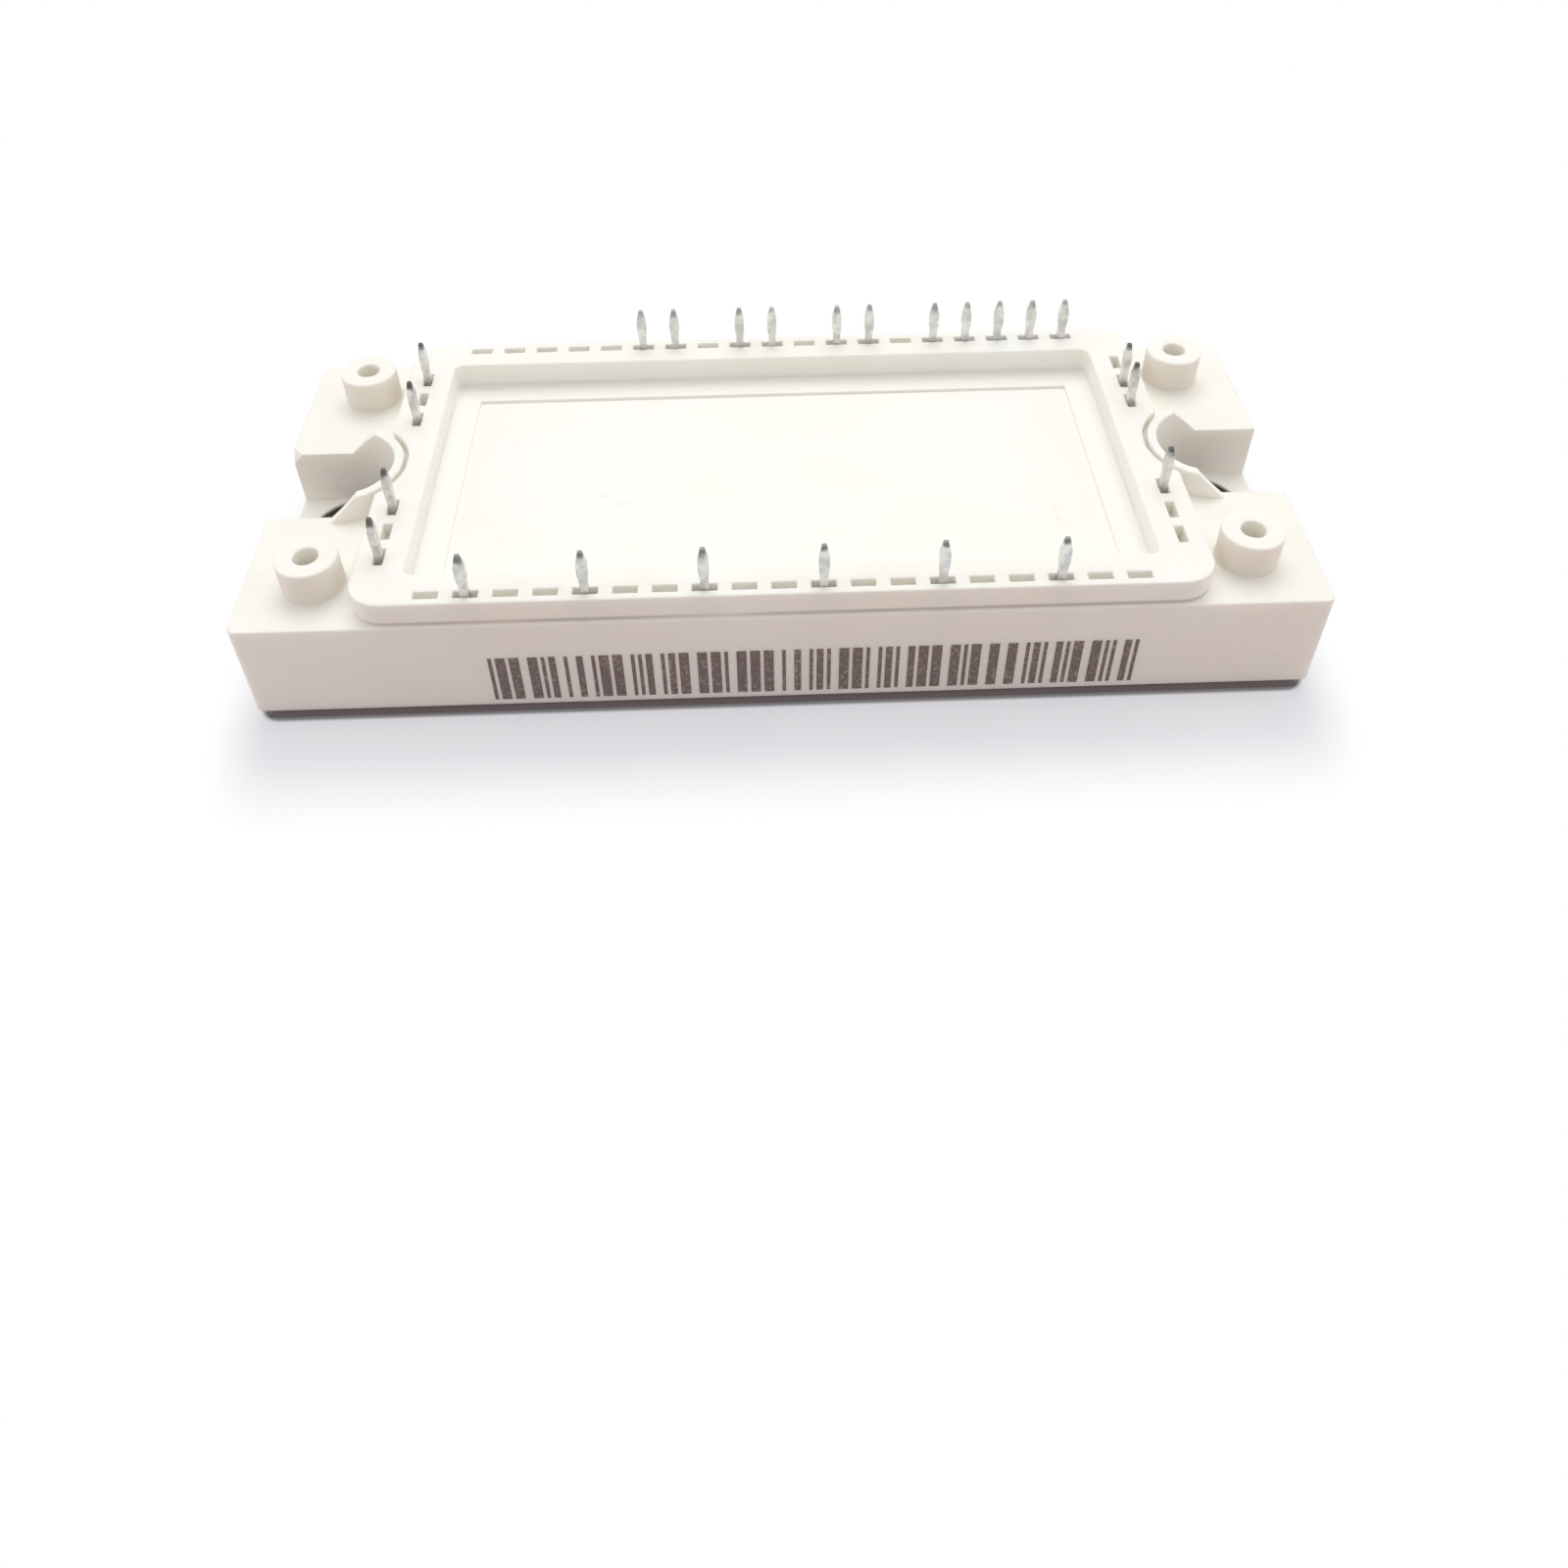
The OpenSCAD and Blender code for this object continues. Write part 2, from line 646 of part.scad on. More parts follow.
// Gate wires: upper transistors to their gate pads, lower ones to the front pads
module gate_wires() {
    pad_y = pad_h - copper_w / 2 - wire_strip;
    color("lightgray") for (p = [0 : phases - 1]) {
        upper = igbts[2 * p];
        lower = igbts[2 * p + 1];
        gate_x = upper[0] - igbt_side * 0.45;
        wire([gate_x, upper[1] - igbt_side * 0.3, chip_top_z],
             [gate_corner(p)[0] + gate_pad / 2, gate_corner(p)[1] + gate_pad / 2, chip_z],
             gate_wire_d, wire_loop / 2);
        wire([gate_x, lower[1], chip_top_z], [terminals[p][0], pad_y, chip_z],
             gate_wire_d, wire_loop);
    }
    color("lightgray")
        wire([brake_cx - igbt_side * 0.45, lower_cy, chip_top_z],
             [terminals[5][0] - pad_half / 2, pad_y, chip_z], gate_wire_d, wire_loop);
}

// A pair of wires from each terminal's foot to the nearest copper
module terminal_wires() {
    half_l = (copper_l - wire_strip) / 2;
    half_w = (copper_w - wire_strip) / 2;
    color("lightgray") for (t = terminals) {
        reach = foot_length(t) - pin_w / 2;
        x0 = t[0] + reach * cos(t[2]);
        y0 = t[1] + reach * sin(t[2]);
        x1 = max(-half_l, min(half_l, x0));
        y1 = max(-half_w, min(half_w, y0));
        for (s = [-1, 1]) {
            dx = -s * sin(t[2]) * pin_w / 4;
            dy = s * cos(t[2]) * pin_w / 4;
            wire([x0 + dx, y0 + dy, foot_z], [x1 + dx, y1 + dy, chip_z], wire_d, wire_loop);
        }
    }
}

// ---- Terminals ----

module terminal(i) {
    t = terminals[i];
    color("silver") translate([t[0], t[1], 0]) rotate([0, 0, t[2]])
        terminal_shape(foot_length(t));
}

housing();
lid();
printed_bars();
base_plate();
gel_layer();
substrate_solder();
substrate_bottom_copper();
substrate_ceramic();
substrate_top_copper();
for (i = [0 : len(igbts) - 1])
    igbt_chip(i);
for (i = [0 : len(freewheels) - 1])
    freewheel_diode(i);
for (i = [0 : len(rectifiers) - 1])
    rectifier_diode(i);
thermistor();
igbt_wires();
freewheel_wires();
rectifier_wires();
gate_wires();
terminal_wires();
for (i = [0 : len(terminals) - 1])
    terminal(i);
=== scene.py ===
import math

import bpy
import numpy as np
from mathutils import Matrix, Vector
from mathutils.geometry import delaunay_2d_cdt


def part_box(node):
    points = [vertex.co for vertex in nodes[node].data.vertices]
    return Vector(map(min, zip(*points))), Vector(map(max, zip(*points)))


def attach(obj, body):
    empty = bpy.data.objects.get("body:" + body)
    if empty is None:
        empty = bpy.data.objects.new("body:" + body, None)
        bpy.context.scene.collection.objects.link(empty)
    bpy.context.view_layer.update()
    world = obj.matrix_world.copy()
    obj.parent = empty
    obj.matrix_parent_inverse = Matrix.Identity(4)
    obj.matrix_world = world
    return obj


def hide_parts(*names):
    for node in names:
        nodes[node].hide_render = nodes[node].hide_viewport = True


# Flat power semiconductor module: the finishes, the softened edges, the light and the camera.
# All lengths are metres. X runs along the module, Y across it and Z up from the heatsink face.

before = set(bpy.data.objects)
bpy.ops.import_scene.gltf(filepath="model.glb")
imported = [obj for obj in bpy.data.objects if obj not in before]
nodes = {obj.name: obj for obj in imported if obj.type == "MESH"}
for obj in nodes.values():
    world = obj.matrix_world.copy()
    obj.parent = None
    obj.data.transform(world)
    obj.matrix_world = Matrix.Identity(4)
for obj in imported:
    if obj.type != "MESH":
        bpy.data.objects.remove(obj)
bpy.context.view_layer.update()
scene = bpy.context.scene
print("frame loaded,", len(nodes), "nodes")

millimetre = 0.001

# places that the pieces and finishes share; the boxes are read from the frame
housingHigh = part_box("housing")[1]
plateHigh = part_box("base_plate")[1]
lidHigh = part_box("lid")[1]
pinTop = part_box("terminal_1")[1].z
deckTop = 12.6 * millimetre            # the face that the frame and the standoffs rise from
frameTop = 15.5 * millimetre
screwInset = 7.25 * millimetre         # from the housing's end face to the screws' axes

wireNames = [name for name in nodes if name.endswith("_wires")]
terminalNames = [name for name in nodes if name.startswith("terminal_") and name not in wireNames]
chipNames = [name for name in nodes if "_chip_" in name]
diodeNames = [name for name in nodes if "_diode_" in name]


# Helpers for shader nodes

noiseCore = (0.35, 0.65)               # where most of a noise's values lie
noiseWide = (0.3, 0.7)                 # where nearly all of them lie
white = (1, 1, 1, 1)


def addNode(tree, kind, inputs=None, **settings):
    # one shader node; an input takes a number, a colour or another node's output
    node = tree.nodes.new(kind)
    for key, value in settings.items():
        setattr(node, key, value)
    for key, value in (inputs or {}).items():
        if isinstance(value, bpy.types.NodeSocket):
            tree.links.new(value, node.inputs[key])
        else:
            node.inputs[key].default_value = value
    return node


def newMaterial(name, **sockets):
    # a material with one Principled shader, whose plain values go straight on its sockets
    material = bpy.data.materials.new(name)
    material.use_nodes = True
    tree = material.node_tree
    tree.nodes.clear()
    output = addNode(tree, "ShaderNodeOutputMaterial")
    shader = addNode(tree, "ShaderNodeBsdfPrincipled")
    tree.links.new(shader.outputs["BSDF"], output.inputs["Surface"])
    for key, value in sockets.items():
        shader.inputs[key.replace("_", " ")].default_value = value
    return material, tree, shader


def objectPlace(tree, scale=(1, 1, 1)):
    # object coordinates times a scale for each axis
    coordinate = addNode(tree, "ShaderNodeTexCoord")
    mapping = addNode(tree, "ShaderNodeMapping",
                      {"Vector": coordinate.outputs["Object"], "Scale": scale})
    return mapping.outputs["Vector"]


def objectAxes(tree):
    # object coordinates as three outputs, called X, Y and Z
    return addNode(tree, "ShaderNodeSeparateXYZ", {"Vector": objectPlace(tree)}).outputs


def noise(tree, vector, scale, detail=2.0, roughness=0.5):
    # smooth noise from about 0.2 to 0.8; the scale is per metre
    node = addNode(tree, "ShaderNodeTexNoise", {
        "Vector": vector, "Scale": scale, "Detail": detail, "Roughness": roughness})
    return node.outputs["Fac"]


def mapped(tree, value, reach, target, smooth=False):
    # value goes in a straight or smooth line from the reach to the target, held at both ends
    node = addNode(tree, "ShaderNodeMapRange", {
        "Value": value, "From Min": reach[0], "From Max": reach[1],
        "To Min": target[0], "To Max": target[1]},
        interpolation_type="SMOOTHSTEP" if smooth else "LINEAR")
    return node.outputs["Result"]


def maths(tree, operation, a, b=0.0):
    # the operation on a, or on a and b
    return addNode(tree, "ShaderNodeMath", {0: a, 1: b}, operation=operation).outputs[0]


def product(tree, first, *others):
    # all the factors multiplied together
    for other in others:
        first = maths(tree, "MULTIPLY", first, other)
    return first


def hypotenuse(tree, legs):
    # square root of the sum of two squares
    squares = [maths(tree, "POWER", leg, 2) for leg in legs]
    return maths(tree, "SQRT", maths(tree, "ADD", *squares))


def mixColours(tree, factor, a, b):
    # colour a where the factor is 0, colour b where it is 1
    return addNode(tree, "ShaderNodeMix", {0: factor, 6: a, 7: b}, data_type="RGBA").outputs[2]


def addBump(tree, shader, height, strength, depth, below=None):
    # a bump on the shader's surface, laid over the bump below it if there is one
    inputs = {"Height": height, "Strength": strength, "Distance": depth}
    if below is not None:
        inputs["Normal"] = below
    node = addNode(tree, "ShaderNodeBump", inputs)
    tree.links.new(node.outputs["Normal"], shader.inputs["Normal"])
    return node.outputs["Normal"]


def shownRays(tree):
    # 1 for rays that show a place: from the camera, off a glossy face or through glass
    rays = addNode(tree, "ShaderNodeLightPath").outputs
    direct = maths(tree, "MAXIMUM", rays["Is Camera Ray"], rays["Is Glossy Ray"])
    return maths(tree, "MAXIMUM", direct, rays["Is Transmission Ray"])


def dress(names, material):
    # the CAD nodes keep their shapes and take this material
    for name in names:
        data = nodes[name].data
        data.materials.clear()
        data.materials.append(material)


def mirroredReach(tree, axes, x, y):
    # distance in plan to the nearest of the places at plus and minus x and y
    return hypotenuse(tree, [
        maths(tree, "SUBTRACT", maths(tree, "ABSOLUTE", axes[axis]), place)
        for axis, place in (("X", x), ("Y", y))])


# Moulded plastic of the housing and the lid, with specks, grey marks, and painted shade and painted
# light in its hollows

# painted shade deep in the screw wells, below the floors of their channels
well = {
    "radius": 5.6 * millimetre,                        # just past the well's wall
    "shadeTop": (5.8 * millimetre, 6.1 * millimetre),  # the painted shade ends just below the channel's floor
    "shadeTone": (0.130, 0.115, 0.090, 1),
}


def wellShadeMask(tree):
    # 1 inside either screw well below the floor of its channel, where the wall takes painted shade,
    # 0 elsewhere
    axes = objectAxes(tree)
    reach = mirroredReach(tree, axes, housingHigh.x - screwInset, 0)
    near = maths(tree, "LESS_THAN", reach, well["radius"])
    return product(tree, near, mapped(tree, axes["Z"], well["shadeTop"], (1, 0)))


standoff = {
    "sideInset": 6.5 * millimetre,                     # from the housing's long face to the axis
    "bore": 1.35 * millimetre,                         # just past the screw hole's wall
    "boreLightTone": (1.0, 0.965, 0.885, 1),                # painted light: paler than the plastic around it
    "side": (2.9 * millimetre, 3.6 * millimetre),      # radii before and past the outer wall
    "foot": deckTop + 0.1 * millimetre,
    "head": housingHigh.z - 0.3 * millimetre,
    "soften": 0.2 * millimetre,
    # painted shade on the standoffs' sides, darker towards the foot
    "sideShade": (0.62, 0.30),                              # strength at the foot and at the head
    "sideShadeTone": (0.76, 0.69, 0.60, 1),
}


def standoffMasks(tree):
    # one mask is 1 inside the screw holes, where light is painted, and one is painted shade on the
    # standoffs' sides, which is strongest at their feet
    axes = objectAxes(tree)
    reach = mirroredReach(tree, axes, housingHigh.x - screwInset,
                          housingHigh.y - standoff["sideInset"])
    inner, outer = standoff["side"]
    foot, head, soften = standoff["foot"], standoff["head"], standoff["soften"]
    sideShade = product(tree,
                   maths(tree, "GREATER_THAN", reach, inner),
                   maths(tree, "LESS_THAN", reach, outer),
                   mapped(tree, axes["Z"], (foot, head), standoff["sideShade"]),
                   mapped(tree, axes["Z"], (head, head + soften), (1, 0)),
                   mapped(tree, axes["Z"], (foot, foot + soften), (0, 1)))
    return maths(tree, "LESS_THAN", reach, standoff["bore"]), sideShade


# painted shade: a thin dark line along the foot of the frame's long faces
crease = {
    "height": deckTop + 0.37 * millimetre,
    "half": (0.068 * millimetre, 0.34 * millimetre),   # half the height of its core and of it all
    "outer": (18.5 * millimetre, 22.2 * millimetre),   # from the middle line, where it sets in
    "strength": 0.62,
    "wanderScale": 45,
    "wanderReach": (0.35, 0.60),
    "wander": (0.35, 1),
    "tone": (0.40, 0.36, 0.31, 1),
}


def creaseShadeMask(tree):
    # painted shade along the foot of the frame's long faces, in a thin line that comes and goes
    axes = objectAxes(tree)
    off = maths(tree, "ABSOLUTE", maths(tree, "SUBTRACT", axes["Z"], crease["height"]))
    line = mapped(tree, off, crease["half"], (crease["strength"], 0), True)
    outer = mapped(tree, maths(tree, "ABSOLUTE", axes["Y"]), crease["outer"], (0, 1), True)
    wander = noise(tree, objectPlace(tree), crease["wanderScale"])
    return product(tree, line, outer, mapped(tree, wander, crease["wanderReach"], crease["wander"]))


lidMark = {
    "tone": (0.50, 0.50, 0.49, 1),
    "oval": (0.1, 0.5),                                # where it fades, in lengths and widths
    "grainScale": 1800,
    "grainReach": (0.48, 0.60),
    "grain": (0.15, 1),
}

lidMarks = [                                          # in millimetres, with turns in radians
    {"x": -18.9, "y": -2.5, "length": 1.1, "width": 0.7, "turn": -0.5, "strength": 0.30},
    {"x": -16.2, "y": -4.0, "length": 6.0, "width": 1.8, "turn": -0.5, "strength": 0.12},
    {"x": 29.2, "y": -8.8, "length": 7.2, "width": 1.1, "turn": 1.62, "strength": 0.16},
    {"x": 6.0, "y": 8.0, "length": 11.0, "width": 1.2, "turn": 0.35, "strength": 0.06},
]


def lidMarkMask(tree, x, y, length, width, turn, strength):
    # a grey streak on the lid: an oval on the plan, broken up by fine noise
    place = objectPlace(tree)
    turned = addNode(tree, "ShaderNodeMapping", {
        "Vector": place, "Location": (x * millimetre, y * millimetre, 0),
        "Rotation": (0, 0, turn), "Scale": (length * millimetre, width * millimetre, 1)},
        vector_type="TEXTURE")
    onPlan = addNode(tree, "ShaderNodeVectorMath", {0: turned.outputs[0], 1: (1, 1, 0)},
                     operation="MULTIPLY")
    reach = addNode(tree, "ShaderNodeVectorMath", {0: onPlan.outputs[0]}, operation="LENGTH")
    oval = mapped(tree, reach.outputs["Value"], lidMark["oval"], (1, 0), True)
    grain = noise(tree, place, lidMark["grainScale"], detail=3)
    return product(tree, oval, mapped(tree, grain, lidMark["grainReach"], lidMark["grain"]), strength)


plastic = {
    "tone": (0.942, 0.928, 0.878, 1),                  # warm off-white
    "warmTone": (0.928, 0.900, 0.838, 1),
    "lidTone": (0.935, 0.928, 0.892, 1),
    "roughness": (0.42, 0.56),
    "shine": 0.42,
    "glow": 0.45,                                      # light scattered inside the thick housing
    "glowTint": (1.0, 0.88, 0.74),
    "glowDepth": 1.4 * millimetre,
    "cloudScale": 55,                                  # slow drift of the tone, per metre
    "grainScale": 2600,                                # fine moulded grain
    "grainBump": (0.30, 0.02 * millimetre),            # strength and depth
    "flowScale": 260,                                  # shallow waviness of the moulding
    "flowBump": (0.25, 0.05 * millimetre),
    "speckScale": 1400,
    "speckReach": (0.70, 0.78),                        # only the noise's peaks become specks
    "speckStrength": (0, 0.10),
    "speckTone": (0.55, 0.47, 0.36, 1),
}


def mouldedPlastic(name, tone, warmTone, glow, marks=()):
    # satin moulded polyester: drifting tone, fine grain, shallow waves and grey marks, with painted
    # shade and painted light laid in its hollows
    material, tree, shader = newMaterial(
        name, Subsurface_Weight=glow, Subsurface_Radius=plastic["glowTint"],
        Subsurface_Scale=plastic["glowDepth"], Specular_IOR_Level=plastic["shine"])
    place = objectPlace(tree)
    cloud = noise(tree, place, plastic["cloudScale"], detail=3)
    grain = noise(tree, place, plastic["grainScale"], roughness=0.6)
    flow = noise(tree, place, plastic["flowScale"])
    specks = noise(tree, place, plastic["speckScale"], detail=1)
    specks = mapped(tree, specks, plastic["speckReach"], plastic["speckStrength"])
    inBore, sideShade = standoffMasks(tree)
    # painted shade in the wells, along the frame's foot and on the standoffs' sides; painted light
    # in the screw holes
    layers = [
        (specks, plastic["speckTone"]),
        (wellShadeMask(tree), well["shadeTone"]),
        (creaseShadeMask(tree), crease["tone"]),
        (inBore, standoff["boreLightTone"]),
        (sideShade, standoff["sideShadeTone"]),
        *[(lidMarkMask(tree, **values), lidMark["tone"]) for values in marks],
    ]
    colour = mixColours(tree, mapped(tree, cloud, noiseCore, (0, 1), True), tone, warmTone)
    for mask, layerTone in layers:
        colour = mixColours(tree, mask, colour, layerTone)
    tree.links.new(colour, shader.inputs["Base Color"])
    roughness = mapped(tree, cloud, noiseWide, plastic["roughness"])
    tree.links.new(roughness, shader.inputs["Roughness"])
    waves = addBump(tree, shader, flow, *plastic["flowBump"])
    addBump(tree, shader, grain, *plastic["grainBump"], waves)
    return material


housingPlastic = mouldedPlastic(
    "housingPlastic", plastic["tone"], plastic["warmTone"], plastic["glow"])
lidPlastic = mouldedPlastic("lidPlastic", plastic["lidTone"], plastic["tone"], 0, lidMarks)
print("plastics done")


# Printed bars on the front face

ink = {
    "dark": (0.195, 0.158, 0.149, 1),
    "worn": (0.40, 0.335, 0.315, 1),
    "roughness": 0.75,
    "shine": 0.25,
    "dotScale": 2400,
    "dotReach": (0.48, 0.66),
    "dotBump": (0.2, 0.01 * millimetre),
    "patchScale": 420,
    "patchReach": (0.35, 0.62),
    "patch": (0.25, 0.9),
}


def printingInk():
    # matt ink from a dot printer: dark, with paler flecks where the dots miss
    material, tree, shader = newMaterial(
        "printingInk", Roughness=ink["roughness"], Specular_IOR_Level=ink["shine"])
    place = objectPlace(tree)
    dots = noise(tree, place, ink["dotScale"], detail=1)
    dots = mapped(tree, dots, ink["dotReach"], (0, 1))
    patches = noise(tree, place, ink["patchScale"])
    fade = product(tree, dots, mapped(tree, patches, ink["patchReach"], ink["patch"]))
    tree.links.new(mixColours(tree, fade, ink["dark"], ink["worn"]), shader.inputs["Base Color"])
    addBump(tree, shader, dots, *ink["dotBump"])
    return material


dress(["printed_bars"], printingInk())
print("printing done")


# Terminals and base plate

tin = {
    "bright": (0.79, 0.79, 0.77, 1),
    "dull": (0.58, 0.58, 0.57, 1),
    "roughness": (0.30, 0.48),
    "streakScale": (6000, 6000, 500),                  # for each axis, so that streaks run up
    "streakBump": (0.25, 0.01 * millimetre),
    "patchScale": 900,
    "tip": (0.09, 0.085, 0.08, 1),                     # painted shade on the blades' tips
    "tipReach": (1.0 * millimetre, 0.3 * millimetre),  # below the top, from where the dark grows
    "tipWander": (-0.25 * millimetre, 0.25 * millimetre),
    "rows": (-20 * millimetre, 20 * millimetre),       # just inside the front and the back row
    "rowTipShade": (0.8, 0.5),                             # how dark the painted shade on their tips is
    "columnPlace": 38 * millimetre,                    # the end columns stand further out
    "columnTipShade": 0.95,
}


def tinnedCopper():
    # drawn streaks up each blade, patches of dulled tin and painted shade on each tip, darkest in
    # the columns
    material, tree, shader = newMaterial("tinnedCopper", Metallic=1.0)
    axes = objectAxes(tree)
    streaks = noise(tree, objectPlace(tree, tin["streakScale"]), 1)
    patches = noise(tree, objectPlace(tree), tin["patchScale"], detail=3)
    dulled = mapped(tree, patches, noiseCore, (0, 1), True)
    colour = mixColours(tree, dulled, tin["bright"], tin["dull"])
    # painted shade on the tips: darkest in the end columns, darker in the front row than the back
    column = maths(tree, "GREATER_THAN", maths(tree, "ABSOLUTE", axes["X"]), tin["columnPlace"])
    row = mapped(tree, axes["Y"], tin["rows"], tin["rowTipShade"])
    depth = maths(tree, "MAXIMUM", row, maths(tree, "MULTIPLY", column, tin["columnTipShade"]))
    height = maths(tree, "ADD", axes["Z"], mapped(tree, patches, noiseWide, tin["tipWander"]))
    reach = [pinTop - below for below in tin["tipReach"]]
    tip = product(tree, mapped(tree, height, reach, (0, 1), True), depth)
    tree.links.new(mixColours(tree, tip, colour, tin["tip"]), shader.inputs["Base Color"])
    tree.links.new(mapped(tree, streaks, noiseWide, tin["roughness"]), shader.inputs["Roughness"])
    addBump(tree, shader, streaks, *tin["streakBump"])
    return material


plate = {
    "bright": (0.56, 0.54, 0.50, 1),
    "dull": (0.40, 0.38, 0.35, 1),
    "roughness": (0.26, 0.44),
    "lineScale": (150, 9000, 9000),                    # for each axis, so that lines run lengthwise
    "lineBump": (0.3, 0.01 * millimetre),
    "stainScale": 130,
    "stainReach": (0.45, 0.7),
    "highEdge": (0.135, 0.108, 0.103, 1),              # tarnish, with painted shadow of the housing's skirt
    "lowEdge": (0.210, 0.168, 0.165, 1),               # tarnish with less painted shadow, at the heatsink face
    "edgeReach": (0.2 * millimetre, 1.3 * millimetre),
    "upright": (0.4, 0.9),                             # how far a side's normal may lean up or down
}


def nickelPlate():
    # ground copper under dull nickel: lengthwise grinding lines, faint stains, and sides that are
    # tarnished and darkened by painted shade, most under the skirt
    material, tree, shader = newMaterial("nickelPlate", Metallic=1.0)
    lines = noise(tree, objectPlace(tree, plate["lineScale"]), 1)
    stains = noise(tree, objectPlace(tree), plate["stainScale"], detail=4, roughness=0.6)
    stained = mapped(tree, stains, plate["stainReach"], (0, 1), True)
    colour = mixColours(tree, stained, plate["bright"], plate["dull"])
    normal = addNode(tree, "ShaderNodeNewGeometry").outputs["True Normal"]
    lean = addNode(tree, "ShaderNodeSeparateXYZ", {"Vector": normal}).outputs["Z"]
    # the sides are tarnished and take painted shade, darker towards the top under the skirt
    side = mapped(tree, maths(tree, "ABSOLUTE", lean), plate["upright"], (1, 0))
    low = mapped(tree, objectAxes(tree)["Z"], plate["edgeReach"], (1, 0))
    edge = mixColours(tree, low, plate["highEdge"], plate["lowEdge"])
    tree.links.new(mixColours(tree, side, colour, edge), shader.inputs["Base Color"])
    tree.links.new(mapped(tree, lines, noiseWide, plate["roughness"]), shader.inputs["Roughness"])
    addBump(tree, shader, lines, *plate["lineBump"])
    return material


dress(terminalNames, tinnedCopper())
dress(["base_plate"], nickelPlate())
print("metals done")


# Inner pieces, which show once the lid or the housing is taken away

innerBump = 0.4                        # strength of the fine bump on all of them
innerFinishes = {
    "copper": {
        "tones": [(0.80, 0.46, 0.29, 1), (0.66, 0.34, 0.20, 1)],
        "metallic": 1.0, "roughness": (0.30, 0.46), "scale": 700, "depth": 0.010 * millimetre},
    "solder": {
        "tones": [(0.62, 0.62, 0.61, 1), (0.48, 0.48, 0.47, 1)],
        "metallic": 1.0, "roughness": (0.37, 0.53), "scale": 900, "depth": 0.020 * millimetre},
    "alumina": {
        "tones": [(0.88, 0.87, 0.83, 1), (0.82, 0.81, 0.76, 1)],
        "metallic": 0.0, "roughness": (0.52, 0.68), "scale": 1500, "depth": 0.010 * millimetre},
    "silicon": {
        "tones": [(0.30, 0.31, 0.33, 1), (0.22, 0.23, 0.26, 1)],
        "metallic": 0.6, "roughness": (0.17, 0.33), "scale": 400, "depth": 0.004 * millimetre},
    "diodeTop": {
        "tones": [(0.52, 0.53, 0.55, 1), (0.42, 0.43, 0.46, 1)],
        "metallic": 0.8, "roughness": (0.22, 0.38), "scale": 500, "depth": 0.004 * millimetre},
    "aluminiumWire": {
        "tones": [(0.80, 0.80, 0.80, 1), (0.66, 0.66, 0.67, 1)],
        "metallic": 1.0, "roughness": (0.22, 0.38), "scale": 3000, "depth": 0.006 * millimetre},
    "thermistorCeramic": {
        "tones": [(0.05, 0.05, 0.05, 1), (0.10, 0.09, 0.09, 1)],
        "metallic": 0.0, "roughness": (0.47, 0.63), "scale": 2200, "depth": 0.010 * millimetre},
}


def innerMaterial(name):
    # two tones drifting into each other, with a fine bump at the same scale
    finish = innerFinishes[name]
    material, tree, shader = newMaterial(name, Metallic=finish["metallic"])
    grain = noise(tree, objectPlace(tree), finish["scale"], detail=3)
    tree.links.new(mixColours(tree, grain, *finish["tones"]), shader.inputs["Base Color"])
    tree.links.new(mapped(tree, grain, noiseWide, finish["roughness"]), shader.inputs["Roughness"])
    addBump(tree, shader, grain, innerBump, finish["depth"])
    return material


gel = {
    "tone": (0.93, 0.97, 0.97, 1),
    "refraction": 1.41,
    "hazeScale": 300,
    "roughness": (0.03, 0.10),
    "hazeBump": (0.2, 0.05 * millimetre),
}


def siliconeGel():
    # clear soft gel with a faint haze and a slightly uneven surface
    material, tree, shader = newMaterial(
        "siliconeGel", Transmission_Weight=1.0, IOR=gel["refraction"], Base_Color=gel["tone"])
    haze = noise(tree, objectPlace(tree), gel["hazeScale"], detail=3)
    tree.links.new(mapped(tree, haze, noiseWide, gel["roughness"]), shader.inputs["Roughness"])
    addBump(tree, shader, haze, *gel["hazeBump"])
    return material


dress(["substrate_bottom_copper", "substrate_top_copper"], innerMaterial("copper"))
dress(["substrate_solder"], innerMaterial("solder"))
dress(["substrate_ceramic"], innerMaterial("alumina"))
dress(chipNames, innerMaterial("silicon"))
dress(diodeNames, innerMaterial("diodeTop"))
dress(wireNames, innerMaterial("aluminiumWire"))
dress(["thermistor"], innerMaterial("thermistorCeramic"))
dress(["gel_layer"], siliconeGel())
print("inner pieces done")


# Housing and lid with rounded rims. The CAD's triangles are copied and joined, and a quarter
# circle is carried along each rim where a flat top meets upright walls

rounding = {
    "steps": 3,                        # strips on each quarter circle
    "join": 0.001 * millimetre,        # points that round to the same step are one
    "level": 0.999,                    # least upward part of a flat top's normal
    "upright": 0.02,                   # greatest upward part of a wall's normal
    "mitre": 0.4,                      # least divisor where two sides meet, for sharp corners
    "merge": 1e-6,                     # millimetres, for the fill of a flat top
    "thin": 1e-9,                      # square millimetres, twice the area of a sliver to drop
    "sharp": math.radians(32),
}
rims = {
    "housing": {"tops": (deckTop, frameTop, housingHigh.z), "radius": 0.16 * millimetre,
                "piece": "mouldedHousing", "slot": "housing_plastic", "material": housingPlastic},
    "lid": {"tops": (lidHigh.z,), "radius": 0.04 * millimetre,
            "piece": "mouldedLid", "slot": "lid_plastic", "material": lidPlastic},
}


